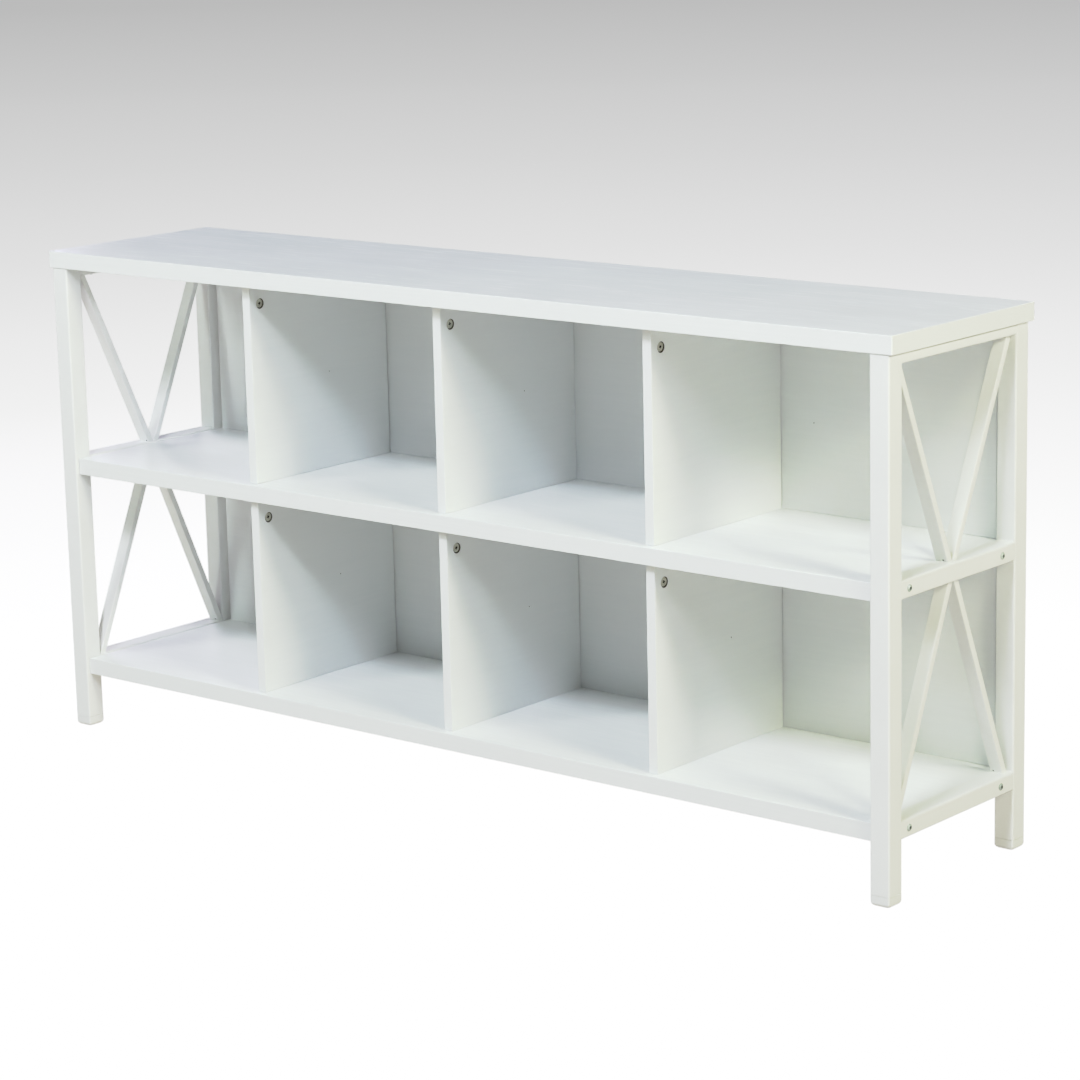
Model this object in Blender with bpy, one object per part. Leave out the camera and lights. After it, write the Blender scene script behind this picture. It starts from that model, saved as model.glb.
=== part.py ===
"""Console bookcase: two welded steel end frames with crossed braces carry a top,
two shelves, six dividers and two back panels.  Metres, +Z up, front towards -Y,
origin on the floor under the middle of the top panel."""

import math

import bmesh
import bpy
from mathutils import Vector

# ---------------------------------------------------------------- dimensions
WIDTH = 1.574                 # top panel, left to right
DEPTH = 0.342                 # top panel, front to back
HEIGHT = 0.762                # floor to top surface
GAP = 0.0003                  # running gap kept between neighbouring pieces

TOP_T = 0.0255                # top panel thickness
SHELF_T = 0.025               # middle and bottom shelf thickness
PANEL_T = 0.015               # dividers and back panels
ARRIS = 0.0008                # eased edge on the boards

TOP_UNDER = HEIGHT - TOP_T    # underside of the top panel
MID_TOP = 0.4355              # upper face of the middle shelf
LOW_TOP = 0.1115              # upper face of the bottom shelf

LEG = 0.0305                  # leg tube, square outside, with its coat
LEG_WALL = 0.0015
LEG_R = 0.0028                # outside corner radius of the tubes
INNER_X = 0.7509              # inside plane of each end frame
LEG_FRONT_Y = -0.1695         # front face of the front legs
LEG_REAR_Y = 0.1650           # rear face of the rear legs
FOOT_H = 0.015                # visible height of the foot caps
PLUG_H = 0.018                # part of the cap that sits in the tube

RAIL_WALL = 0.0015
RAIL_H = 0.0255               # middle and bottom rails
RAIL_PROUD = 0.0020           # rails stand this far above the shelf faces
TOP_RAIL_H = 0.0147

BRACE_W = 0.020               # brace tube, side to side of the frame
BRACE_IN = 0.0015             # the braces lie this far behind the inside plane
BRACE_T = 0.010               # brace tube, in the plane of the frame
BRACE_WALL = 0.0012
BRACE_R = 0.0015
VENT_R = 0.0014               # drain hole at the foot of a brace
VENT_UP = 0.0020              # its height above the rail below
VENT_IN = 0.0061              # its distance from the brace's inner side

SHELF_FRONT_Y = -0.1638
BACK_FRONT_Y = 0.1464         # front face of the back panels
BACK_END_GAP = 0.0070         # the back panels stop short of the legs
DIVIDER_FRONT_Y = -0.1518
DIVIDER_X = {"left": -0.378, "centre": 0.0, "right": 0.378}

CAM_R = 0.0075                # cam lock disc
CAM_LEN = 0.0118
CAM_DOWN = 0.030              # cam centre below the board that it pulls against
CAM_Y = -0.1303
BOLT_IN = 0.0110              # cam bolt thread length inside the upper board

SCREW_Y = {"front": -0.1226, "rear": 0.1024}
SCREW_HEAD_R = 0.0050
SCREW_R = 0.0030
SCREW_IN = 0.040              # shelf screw length inside the shelf end
TOP_SCREW_Y = {"front": -0.105, "rear": 0.100}
TOP_SCREW_R = 0.0022
TOP_SCREW_IN = 0.014

FRAME_MID_Y = (LEG_FRONT_Y + LEG_REAR_Y) / 2
OUTER_X = INNER_X + LEG
BACK_REAR_Y = BACK_FRONT_Y + PANEL_T
SIDES = {"left": -1, "right": 1}
MID_RAIL_TOP = MID_TOP + RAIL_PROUD
LOW_RAIL_TOP = LOW_TOP + RAIL_PROUD

for ob in list(bpy.data.objects):
    bpy.data.objects.remove(ob, do_unlink=True)


def group(name, where):
    empty = bpy.data.objects.new(name, None)
    empty.location = where
    bpy.context.scene.collection.objects.link(empty)
    return empty


# the welded frames and the boards between them come apart as three groups
END_FRAMES = {side: group("end_frame_" + side, (s * (INNER_X + LEG / 2), FRAME_MID_Y, 0.0))
              for side, s in SIDES.items()}
CASE = group("case", (0.0, 0.0, 0.0))


def place_all():
    """Give every piece its own origin in its middle, and hang it on its group."""
    for ob in [o for o in bpy.data.objects if o.type == "MESH"]:
        pts = [v.co for v in ob.data.vertices]
        low = Vector([min(p[i] for p in pts) for i in range(3)])
        high = Vector([max(p[i] for p in pts) for i in range(3)])
        middle = (low + high) / 2
        for v in ob.data.vertices:
            v.co -= middle
        ob.data.update()
        parent = CASE
        if ob.name.startswith(("leg_", "foot_", "brace_")) or "_rail_" in ob.name:
            parent = END_FRAMES["left" if ob.name.endswith("_left") else "right"]
        ob.parent = parent
        ob.location = middle - parent.location


# ---------------------------------------------------------------- materials
def material(name, colour, metallic, rough):
    m = bpy.data.materials.new(name)
    m.use_nodes = True
    s = m.node_tree.nodes["Principled BSDF"]
    s.inputs["Base Color"].default_value = (*colour, 1.0)
    s.inputs["Metallic"].default_value = metallic
    s.inputs["Roughness"].default_value = rough
    m.diffuse_color = (*colour, 1.0)
    return m


LOOKS = {
    "laminate": ((0.80, 0.82, 0.82), 0.0, 0.45),
    "powder_coat": ((0.83, 0.84, 0.79), 0.0, 0.38),
    "cap_plastic": ((0.80, 0.81, 0.76), 0.0, 0.50),
    "zinc": ((0.52, 0.52, 0.50), 1.0, 0.38),
    "cast_zinc": ((0.33, 0.31, 0.27), 1.0, 0.48),
}


# ---------------------------------------------------------------- mesh tools
def signed_volume(bm):
    total = 0.0
    for f in bm.faces:
        vs = [v.co for v in f.verts]
        for i in range(1, len(vs) - 1):
            total += vs[0].dot(vs[i].cross(vs[i + 1])) / 6.0
    return total


def to_object(bm, name, look, smooth_deg=40.0):
    if signed_volume(bm) < 0:
        bmesh.ops.reverse_faces(bm, faces=bm.faces[:])
    bm.normal_update()
    limit = math.radians(smooth_deg)
    for f in bm.faces:
        f.smooth = True
    for e in bm.edges:
        if len(e.link_faces) == 2:
            e.smooth = e.calc_face_angle(0.0) < limit
    me = bpy.data.meshes.new(name)
    bm.to_mesh(me)
    bm.free()
    ob = bpy.data.objects.new(name, me)
    bpy.context.scene.collection.objects.link(ob)
    ob.data.materials.append(material(name + "_" + look, *LOOKS[look]))
    return ob


def box_bm(x0, x1, y0, y1, z0, z1, arris=0.0, segments=1):
    bm = bmesh.new()
    bmesh.ops.create_cube(bm, size=1.0)
    for v in bm.verts:
        v.co = Vector(((x0 + x1) / 2 + v.co.x * (x1 - x0),
                       (y0 + y1) / 2 + v.co.y * (y1 - y0),
                       (z0 + z1) / 2 + v.co.z * (z1 - z0)))
    if arris:
        bmesh.ops.bevel(bm, geom=bm.edges[:], offset=arris, segments=segments,
                        profile=0.5, affect="EDGES")
    return bm


def rounded_rect(w, h, r, seg=2):
    """Anticlockwise points of a w by h rectangle with corners of radius r."""
    pts = []
    for cx, cy, a0 in ((w / 2 - r, h / 2 - r, 0), (-w / 2 + r, h / 2 - r, 90),
                       (-w / 2 + r, -h / 2 + r, 180), (w / 2 - r, -h / 2 + r, 270)):
        for i in range(seg + 1):
            a = math.radians(a0 + 90.0 * i / seg)
            pts.append((cx + r * math.cos(a), cy + r * math.sin(a)))
    return pts


def bridge(bm, loop_a, loop_b):
    n = len(loop_a)
    for i in range(n):
        j = (i + 1) % n
        bm.faces.new((loop_a[i], loop_a[j], loop_b[j], loop_b[i]))


def tube_bm(ends):
    """Open-ended tube from four loops: outside and inside at one end, then at
    the other.  All loops have the same number of points."""
    bm = bmesh.new()
    loops = [[bm.verts.new(p) for p in loop] for loop in ends]
    out_a, in_a, out_b, in_b = loops
    bridge(bm, out_a, out_b)
    bridge(bm, in_b, in_a)
    bridge(bm, in_a, out_a)
    bridge(bm, out_b, in_b)
    return bm


def loft_bm(loops):
    bm = bmesh.new()
    rings = [[bm.verts.new(p) for p in loop] for loop in loops]
    for a, b in zip(rings[:-1], rings[1:]):
        bridge(bm, a, b)
    bm.faces.new(rings[0][::-1])
    bm.faces.new(rings[-1])
    return bm


def circle(r, n=12, turn=0.0):
    """n points round a circle; turn moves the first one on by that part of a step."""
    return [(r * math.cos(2 * math.pi * (i + turn) / n), r * math.sin(2 * math.pi * (i + turn) / n))
            for i in range(n)]


def hexagon(flat_r, n=12):
    """Hexagon drawn with n points, flat_r from the centre to each flat."""
    pts = []
    for i in range(n):
        a = 2 * math.pi * i / n
        k = (a + math.pi / 6) % (math.pi / 3) - math.pi / 6
        r = flat_r / math.cos(k)
        pts.append((r * math.cos(a), r * math.sin(a)))
    return pts


def rod_bm(profile, place):
    """Body along one line.  profile holds (outline points, distance)."""
    return loft_bm([[place(u, v, t) for u, v in pts] for pts, t in profile])


def cylinder_bm(r, place, t0, t1, n=12, turn=0.0):
    return rod_bm([(circle(r, n, turn), t0), (circle(r, n, turn), t1)], place)


def merge(parts):
    """Separate shapes in one mesh, to be drilled out together."""
    whole = bmesh.new()
    for bm in parts:
        if signed_volume(bm) < 0:
            bmesh.ops.reverse_faces(bm, faces=bm.faces[:])
        tmp = bpy.data.meshes.new("bit")
        bm.to_mesh(tmp)
        bm.free()
        whole.from_mesh(tmp)
        bpy.data.meshes.remove(tmp)
    return whole


def drill(ob, parts, smooth_deg=40.0):
    """Take the given shapes out of the object."""
    me = bpy.data.meshes.new("drill")
    bm = merge(parts)
    bm.to_mesh(me)
    bm.free()
    bit = bpy.data.objects.new("drill", me)
    bpy.context.scene.collection.objects.link(bit)
    mod = ob.modifiers.new("holes", "BOOLEAN")
    mod.operation = "DIFFERENCE"
    mod.solver = "EXACT"
    mod.object = bit
    deps = bpy.context.evaluated_depsgraph_get()
    deps.update()
    cut = bpy.data.meshes.new_from_object(ob.evaluated_get(deps))
    ob.modifiers.clear()
    old = ob.data
    cut.name = old.name
    mats = [m for m in old.materials]
    ob.data = cut
    bpy.data.meshes.remove(old)
    bpy.data.objects.remove(bit, do_unlink=True)
    bpy.data.meshes.remove(me)
    bm = bmesh.new()
    bm.from_mesh(ob.data)
    bmesh.ops.remove_doubles(bm, verts=bm.verts[:], dist=1e-6)
    bmesh.ops.dissolve_degenerate(bm, edges=bm.edges[:], dist=1e-6)
    bmesh.ops.triangulate(bm, faces=[f for f in bm.faces if len(f.verts) > 4])
    limit = math.radians(smooth_deg)
    bm.normal_update()
    for f in bm.faces:
        f.smooth = True
    for e in bm.edges:
        if len(e.link_faces) == 2:
            e.smooth = e.calc_face_angle(0.0) < limit
    bm.to_mesh(ob.data)
    bm.free()
    ob.data.materials.clear()
    ob.data.materials.append(mats[0])
    return ob


def along_x(x, y, z, sign=1):
    return lambda u, v, t: (x + sign * t, y + sign * u, z + v)


def along_z(x, y, z):
    return lambda u, v, t: (x + u, y + v, z + t)


# ---------------------------------------------------------------- boards
def board(name, x0, x1, y0, y1, z0, z1, holes=()):
    ob = to_object(box_bm(x0, x1, y0, y1, z0, z1, ARRIS), name, "laminate")
    if holes:
        drill(ob, list(holes))
    return ob


def bolt_bores(z):
    """Blind bores for the cam bolts in an underside at height z."""
    return [cylinder_bm(SCREW_R + GAP, along_z(x, CAM_Y, z), -0.002, BOLT_IN + 2 * GAP)
            for x in DIVIDER_X.values()]


def end_bores(rail_top):
    """Blind bores in both ends of a shelf for the shelf screws."""
    z = rail_top - RAIL_H / 2
    bores = []
    for s in SIDES.values():
        for y in SCREW_Y.values():
            bores.append(cylinder_bm(SCREW_R + GAP, along_x(s * INNER_X, y, z, -s),
                                     -0.002, SCREW_IN + 0.002))
    return bores


RAIL_MID_X = INNER_X + LEG / 2
top_bores = bolt_bores(TOP_UNDER)
for s in SIDES.values():
    for y in TOP_SCREW_Y.values():
        top_bores.append(cylinder_bm(TOP_SCREW_R + GAP,
                                     along_z(s * RAIL_MID_X, y, TOP_UNDER),
                                     -0.002, TOP_SCREW_IN + 0.001))
board("top_panel", -WIDTH / 2, WIDTH / 2, -DEPTH / 2, DEPTH / 2, TOP_UNDER, HEIGHT,
      top_bores)
board("middle_shelf", -INNER_X + GAP, INNER_X - GAP, SHELF_FRONT_Y, BACK_REAR_Y,
      MID_TOP - SHELF_T, MID_TOP, bolt_bores(MID_TOP - SHELF_T) + end_bores(MID_RAIL_TOP))
board("bottom_shelf", -INNER_X + GAP, INNER_X - GAP, SHELF_FRONT_Y, BACK_REAR_Y,
      LOW_TOP - SHELF_T, LOW_TOP, end_bores(LOW_RAIL_TOP))

LEVELS = {"upper": (MID_TOP + GAP, TOP_UNDER - GAP),
          "lower": (LOW_TOP + GAP, MID_TOP - SHELF_T - GAP)}

for level, (z0, z1) in LEVELS.items():
    board(level + "_back_panel", -INNER_X + BACK_END_GAP, INNER_X - BACK_END_GAP,
          BACK_FRONT_Y, BACK_REAR_Y, z0, z1)
    cam_z = z1 + GAP - CAM_DOWN
    for where, x in DIVIDER_X.items():
        face = x + PANEL_T / 2
        # the divider has a cam bore in its right face and a bolt bore from its top edge
        divider = board("%s_divider_%s" % (level, where), x - PANEL_T / 2, face,
                        DIVIDER_FRONT_Y, BACK_FRONT_Y - GAP, z0, z1)
        drill(divider, [cylinder_bm(CAM_R + GAP, along_x(face, CAM_Y, cam_z, -1),
                                    -0.002, CAM_LEN + 0.0009, 20, 0.5)])
        drill(divider, [cylinder_bm(0.0042, along_z(x, CAM_Y, cam_z), 0.0035,
                                    CAM_DOWN + 0.002, 12, 0.5)])
        # cam lock: disc with a cross recess and an open pocket for the bolt head
        cam = to_object(rod_bm([(circle(CAM_R - 0.0004, 20, 0.5), 0.0),
                                (circle(CAM_R, 20, 0.5), 0.0004),
                                (circle(CAM_R, 20, 0.5), CAM_LEN)],
                               along_x(face - 0.0006, CAM_Y, cam_z, -1)),
                        "cam_lock_%s_%s" % (level, where), "cast_zinc")
        px = face - 0.0006
        drill(cam, [box_bm(px - 0.0016, px + 0.001, CAM_Y - 0.0028, CAM_Y + 0.0028,
                           cam_z - 0.0006, cam_z + 0.0006)])
        drill(cam, [box_bm(px - 0.0016, px + 0.001, CAM_Y - 0.0006, CAM_Y + 0.0006,
                           cam_z - 0.0028, cam_z + 0.0028)])
        drill(cam, [cylinder_bm(0.0040, along_z(x, CAM_Y, cam_z), -0.0024, 0.012, 12, 0.5)])
        # cam bolt: thread in the board above, thin neck, head inside the cam
        to_object(rod_bm([(circle(0.0030), -0.0020), (circle(0.0034), 0.0004),
                          (circle(0.0020), 0.0012), (circle(0.0020), 0.0072),
                          (circle(SCREW_R), 0.0082),
                          (circle(SCREW_R), CAM_DOWN + BOLT_IN - 0.0012),
                          (circle(SCREW_R - 0.0010), CAM_DOWN + BOLT_IN - 0.0002)],
                         along_z(x, CAM_Y, cam_z)),
                  "cam_bolt_%s_%s" % (level, where), "zinc")

# ---------------------------------------------------------------- end frames
LEG_OUT = rounded_rect(LEG, LEG, LEG_R)
LEG_IN = rounded_rect(LEG - 2 * LEG_WALL, LEG - 2 * LEG_WALL, LEG_R - LEG_WALL)
LEG_Y = {"front": LEG_FRONT_Y + LEG / 2, "rear": LEG_REAR_Y - LEG / 2}
FRONT_LEG_BACK = LEG_FRONT_Y + LEG
REAR_LEG_FRONT = LEG_REAR_Y - LEG


def leg(name, x, y):
    put = along_z(x, y, 0.0)
    z0, z1 = FOOT_H + GAP, TOP_UNDER - GAP
    to_object(tube_bm([[put(u, v, z0) for u, v in LEG_OUT], [put(u, v, z0) for u, v in LEG_IN],
                       [put(u, v, z1) for u, v in LEG_OUT], [put(u, v, z1) for u, v in LEG_IN]]),
              name, "powder_coat", 50.0)


def foot_cap(name, x, y):
    """Square cap under the leg with a plug that fits in the tube."""
    put = along_z(x, y, 0.0)
    plug = LEG - 2 * LEG_WALL - 4 * GAP
    loops = []
    for inset, z in ((0.0040, 0.0), (0.0020, 0.0006), (0.0006, 0.0020), (0.0, 0.0042), (0.0, FOOT_H)):
        loops.append((rounded_rect(LEG - 2 * inset, LEG - 2 * inset, LEG_R), z))
    loops.append((rounded_rect(plug, plug, LEG_R - LEG_WALL), FOOT_H))
    loops.append((rounded_rect(plug - 0.001, plug - 0.001, LEG_R - LEG_WALL), FOOT_H + PLUG_H))
    to_object(rod_bm(loops, put), name, "cap_plastic", 50.0)


def rail(name, s, top, height, shelf_screws):
    """Tube from the front leg to the rear leg, in the full width of the legs."""
    z = top - height / 2
    out = rounded_rect(LEG, height, LEG_R)
    hole = rounded_rect(LEG - 2 * RAIL_WALL, height - 2 * RAIL_WALL, LEG_R - RAIL_WALL)
    y0, y1 = FRONT_LEG_BACK + GAP, REAR_LEG_FRONT - GAP

    def put(u, v, t):
        return (s * RAIL_MID_X + u, t, z + v)
    ob = to_object(tube_bm([[put(u, v, y0) for u, v in out], [put(u, v, y0) for u, v in hole],
                            [put(u, v, y1) for u, v in out], [put(u, v, y1) for u, v in hole]]),
                   name, "powder_coat", 50.0)
    if shelf_screws:
        drill(ob, [cylinder_bm(SCREW_R + GAP, along_x(s * INNER_X, y, z, s), -0.003, LEG + 0.003)
                   for y in SCREW_Y.values()], 50.0)
    else:
        drill(ob, [cylinder_bm(TOP_SCREW_R + GAP, along_z(s * RAIL_MID_X, y, top - height),
                               -0.003, height + 0.003)
                   for y in TOP_SCREW_Y.values()], 50.0)


def brace(name, s, way, centre_off, centre_z, corner_off, corner_z, vent, vent_in):
    """Flat tube from the middle of one rail to the corner of another.  Offsets
    are measured from the middle of the frame, towards the front or the rear."""
    span = Vector((corner_off - centre_off, corner_z - centre_z))
    run = span.normalized()
    out = Vector((abs(run.y), -run.x * (1 if run.y > 0 else -1)))
    leg_off = (REAR_LEG_FRONT - LEG_FRONT_Y - LEG) / 2 - GAP
    # distance from the inner edge to the corner of leg and rail
    corner_v = (Vector((leg_off, corner_z)) - Vector((centre_off, centre_z))).dot(out)

    def profile(w, t, r):
        pts = [(u, v + BRACE_T / 2) for u, v in rounded_rect(w, t, r)]
        v0, v1 = BRACE_T / 2 - t / 2 + r, BRACE_T / 2 + t / 2 - r
        if not (v0 < corner_v < v1):
            return pts
        full = []
        for i, p in enumerate(pts):
            q = pts[(i + 1) % len(pts)]
            full.append(p)
            if abs(p[0] - q[0]) < 1e-9 and abs(abs(p[0]) - w / 2) < 1e-9:
                full.append((p[0], corner_v))
        return full

    def ends(u, v):
        base = Vector((centre_off, centre_z)) + out * v
        t0 = (centre_z - base.y) / run.y
        t1 = (corner_z - base.y) / run.y
        if v > corner_v - 1e-9:
            t1 = min(t1, (leg_off - base.x) / run.x)
        a, b = base + run * t0, base + run * t1
        x = s * (INNER_X + BRACE_IN + BRACE_W / 2) + u
        return ((x, FRAME_MID_Y + way * a.x, a.y), (x, FRAME_MID_Y + way * b.x, b.y))

    shell = [ends(u, v) for u, v in profile(BRACE_W, BRACE_T, BRACE_R)]
    core = [ends(u, v) for u, v in profile(BRACE_W - 2 * BRACE_WALL, BRACE_T - 2 * BRACE_WALL,
                                           BRACE_R - BRACE_WALL)]
    ob = to_object(tube_bm([[p[0] for p in shell], [p[0] for p in core],
                            [p[1] for p in shell], [p[1] for p in core]]),
                   name, "powder_coat", 50.0)
    # drain hole through one wide wall, close above the lower rail
    off, z, v = vent
    centre = Vector((off, z))
    face = out * (1 if v else -1)
    y = FRAME_MID_Y + way * centre.x
    normal = Vector((0.0, way * face.x, face.y))
    side = Vector((1.0, 0.0, 0.0))
    other = normal.cross(side)
    origin = Vector((s * (INNER_X + BRACE_IN + vent_in), y, centre.y))
    drill(ob, [cylinder_bm(VENT_R, lambda u, w, t: tuple(origin + side * u + other * w + normal * t),
                           -0.004, 0.003, 8)], 50.0)


def edge_point(centre_off, centre_z, corner_off, corner_z, z, outside):
    """Point on the inner or outer wide face of a brace at height z."""
    off = centre_off + (corner_off - centre_off) * (z - centre_z) / (corner_z - centre_z)
    if outside:
        length = math.hypot(corner_off - centre_off, corner_z - centre_z)
        off += BRACE_T * length / abs(corner_z - centre_z)
    return off, z, outside


TOP_RAIL_LOW = TOP_UNDER - GAP - TOP_RAIL_H
# Inner face of each brace: its offset from the middle of the frame at the middle rail
# and at the far rail.  The frames are welded by hand, so the pairs meet off centre.
UP = {"front_left": (-0.0018, 0.1264), "rear_left": (0.0022, 0.1258),
      "front_right": (0.0041, 0.1269), "rear_right": (-0.0037, 0.1275)}
DOWN = {"front_left": (-0.0013, 0.1243), "rear_left": (0.0026, 0.1287),
        "front_right": (0.0021, 0.1292), "rear_right": (-0.0017, 0.1236)}
LEVELS = {"upper": (UP, MID_RAIL_TOP + GAP, TOP_RAIL_LOW - GAP, MID_RAIL_TOP, True),
          "lower": (DOWN, MID_RAIL_TOP - RAIL_H - GAP, LOW_RAIL_TOP + GAP, LOW_RAIL_TOP, False)}
# drain holes that aren't at the usual distance from the brace's inner side
ODD_VENTS = {"brace_upper_front_right": 0.0133, "brace_upper_front_left": 0.0034}

for side, s in SIDES.items():
    for end, y in LEG_Y.items():
        x = s * (INNER_X + LEG / 2)
        leg("leg_%s_%s" % (end, side), x, y)
        foot_cap("foot_cap_%s_%s" % (end, side), x, y)
    rail("top_rail_" + side, s, TOP_UNDER - GAP, TOP_RAIL_H, False)
    rail("middle_rail_" + side, s, MID_RAIL_TOP, RAIL_H, True)
    rail("bottom_rail_" + side, s, LOW_RAIL_TOP, RAIL_H, True)
    for end, way in (("front", -1), ("rear", 1)):
        for level, (lines, near_z, far_z, foot_z, outside) in LEVELS.items():
            near, far = lines["%s_%s" % (end, side)]
            line = (near, near_z, far, far_z)
            name = "brace_%s_%s_%s" % (level, end, side)
            brace(name, s, way, *line, edge_point(*line, foot_z + VENT_UP, outside),
                  ODD_VENTS.get(name, VENT_IN))

# ---------------------------------------------------------------- screws
for side, s in SIDES.items():
    for level, top in (("middle", MID_RAIL_TOP), ("bottom", LOW_RAIL_TOP)):
        for end, y in SCREW_Y.items():
            # socket head against the rail, shank through it into the shelf end
            start = OUTER_X + GAP
            head = SCREW_HEAD_R
            to_object(rod_bm([(circle(0.0012), -(LEG + SCREW_IN)),
                              (circle(SCREW_R), -(LEG + SCREW_IN) + 0.0024),
                              (circle(SCREW_R), 0.0), (circle(head), 0.0),
                              (circle(head), 0.0008), (circle(head - 0.0012), 0.0022),
                              (hexagon(0.0020), 0.0024), (hexagon(0.0020), 0.0006)],
                             along_x(s * start, y, top - RAIL_H / 2, s)),
                      "shelf_screw_%s_%s_%s" % (level, side, end), "zinc")
    for end, y in TOP_SCREW_Y.items():
        # pan head under the top rail, shank up into the top panel
        to_object(rod_bm([(hexagon(0.0016), -0.0006), (hexagon(0.0016), -0.0022),
                          (circle(0.0032), -0.0021), (circle(0.0042), -0.0006),
                          (circle(0.0042), 0.0), (circle(TOP_SCREW_R), 0.0),
                          (circle(TOP_SCREW_R), TOP_RAIL_H + TOP_SCREW_IN - 0.003),
                          (circle(0.0008), TOP_RAIL_H + TOP_SCREW_IN - 0.0006)],
                         along_z(s * RAIL_MID_X, y, TOP_UNDER - 2 * GAP - TOP_RAIL_H)),
                  "top_screw_%s_%s" % (side, end), "zinc")

place_all()
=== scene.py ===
"""Looks for the console bookcase: finer boards, tubes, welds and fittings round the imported
frame, with laminate, powder coat and zinc made from nodes, and the photograph's camera."""
import math

import bmesh
import bpy
from mathutils import Matrix, Vector, noise


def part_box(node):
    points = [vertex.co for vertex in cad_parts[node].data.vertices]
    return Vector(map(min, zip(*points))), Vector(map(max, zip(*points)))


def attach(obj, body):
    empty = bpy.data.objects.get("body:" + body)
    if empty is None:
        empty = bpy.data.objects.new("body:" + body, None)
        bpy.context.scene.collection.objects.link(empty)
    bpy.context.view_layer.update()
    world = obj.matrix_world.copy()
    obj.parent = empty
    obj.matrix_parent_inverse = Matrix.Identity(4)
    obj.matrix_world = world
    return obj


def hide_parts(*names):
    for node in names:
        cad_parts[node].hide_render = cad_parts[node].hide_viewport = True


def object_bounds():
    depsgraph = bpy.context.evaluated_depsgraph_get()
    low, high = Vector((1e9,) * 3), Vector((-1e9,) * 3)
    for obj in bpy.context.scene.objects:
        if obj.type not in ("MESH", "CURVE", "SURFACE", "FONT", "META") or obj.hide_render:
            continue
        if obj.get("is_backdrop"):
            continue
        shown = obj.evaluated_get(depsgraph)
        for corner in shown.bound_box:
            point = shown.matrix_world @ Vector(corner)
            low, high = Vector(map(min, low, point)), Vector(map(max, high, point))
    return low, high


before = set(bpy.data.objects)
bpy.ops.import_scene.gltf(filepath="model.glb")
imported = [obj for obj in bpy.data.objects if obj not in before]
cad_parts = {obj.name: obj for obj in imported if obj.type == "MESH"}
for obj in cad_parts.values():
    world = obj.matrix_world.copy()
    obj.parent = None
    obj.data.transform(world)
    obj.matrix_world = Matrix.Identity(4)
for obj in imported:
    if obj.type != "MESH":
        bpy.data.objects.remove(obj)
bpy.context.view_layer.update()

# ------------------------------------------------------------------ dimensions, in metres
GAP = 0.0003
HEIGHT = 0.762
TOP_UNDER = HEIGHT - 0.0255
INNER_X = 0.7509
LEG = 0.0305
LEG_R = 0.0028
OUTER_X = INNER_X + LEG
RAIL_MID_X = INNER_X + LEG / 2
LEG_FRONT_Y, LEG_REAR_Y = -0.1695, 0.1650
FRONT_LEG_BACK, REAR_LEG_FRONT = LEG_FRONT_Y + LEG, LEG_REAR_Y - LEG
FRAME_MID_Y = (LEG_FRONT_Y + LEG_REAR_Y) / 2
FOOT_H = 0.015
MID_TOP, LOW_TOP, SHELF_T = 0.4355, 0.1115, 0.025
MID_RAIL_TOP, LOW_RAIL_TOP = MID_TOP + 0.002, LOW_TOP + 0.002
RAIL_H, TOP_RAIL_H = 0.0255, 0.0147
BRACE_W, BRACE_T, BRACE_WALL, BRACE_R = 0.020, 0.010, 0.0012, 0.0016
VENT_R, VENT_UP = 0.0014, 0.0020       # drain hole at the foot of a brace
VENT_IN = 0.0061                       # its distance from the brace's inner side
BRACE_IN = 0.0015                      # the braces lie this far behind the inside plane
ODD_VENTS = {"brace_upper_front_right": 0.0133, "brace_upper_front_left": 0.0034}
PANEL_T = 0.015
CAM_R, CAM_LEN, CAM_DOWN, CAM_Y = 0.0075, 0.0118, 0.0294, -0.1303
DIVIDER_X = {"left": -0.378, "centre": 0.0, "right": 0.378}
SCREW_Y = {"front": -0.1226, "rear": 0.1024}
TOP_SCREW_Y = {"front": -0.105, "rear": 0.100}
SIDES = {"left": -1, "right": 1}


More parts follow.
